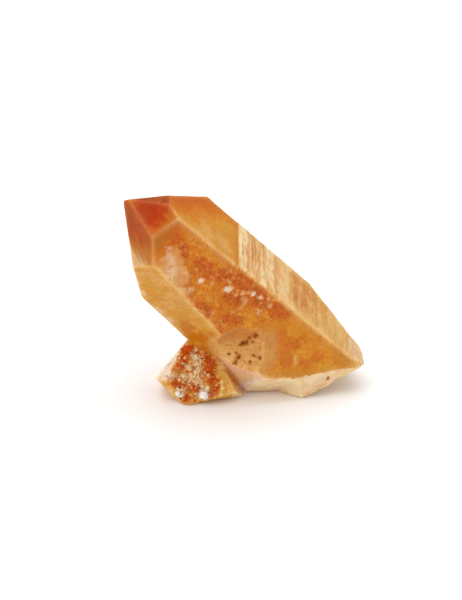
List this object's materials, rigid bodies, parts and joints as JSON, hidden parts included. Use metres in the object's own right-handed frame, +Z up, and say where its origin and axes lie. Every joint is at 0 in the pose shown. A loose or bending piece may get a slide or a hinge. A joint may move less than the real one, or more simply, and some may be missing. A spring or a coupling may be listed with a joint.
{
  "type": "hematoid quartz",
  "caption": "Leaning six-sided quartz point stained orange by iron oxide, with a broken base and a short druse-crusted side crystal grown on it.",
  "frame": {"origin": "centre of the bounding box in x and y, at its bottom, in the plane the crystal stands on", "axes": "+Z up; -Y towards the viewer's side with the druse and the front prism face; the point leans up and towards -X"},
  "size_m": [0.0434, 0.0286, 0.0415],
  "materials": {
    "quartz": "vitreous natural crystal faces, matt where broken, cloudy orange from iron oxide"
  },
  "bodies": {
    "root": {"hematoid_quartz": "quartz"}
  },
  "joints": []
}
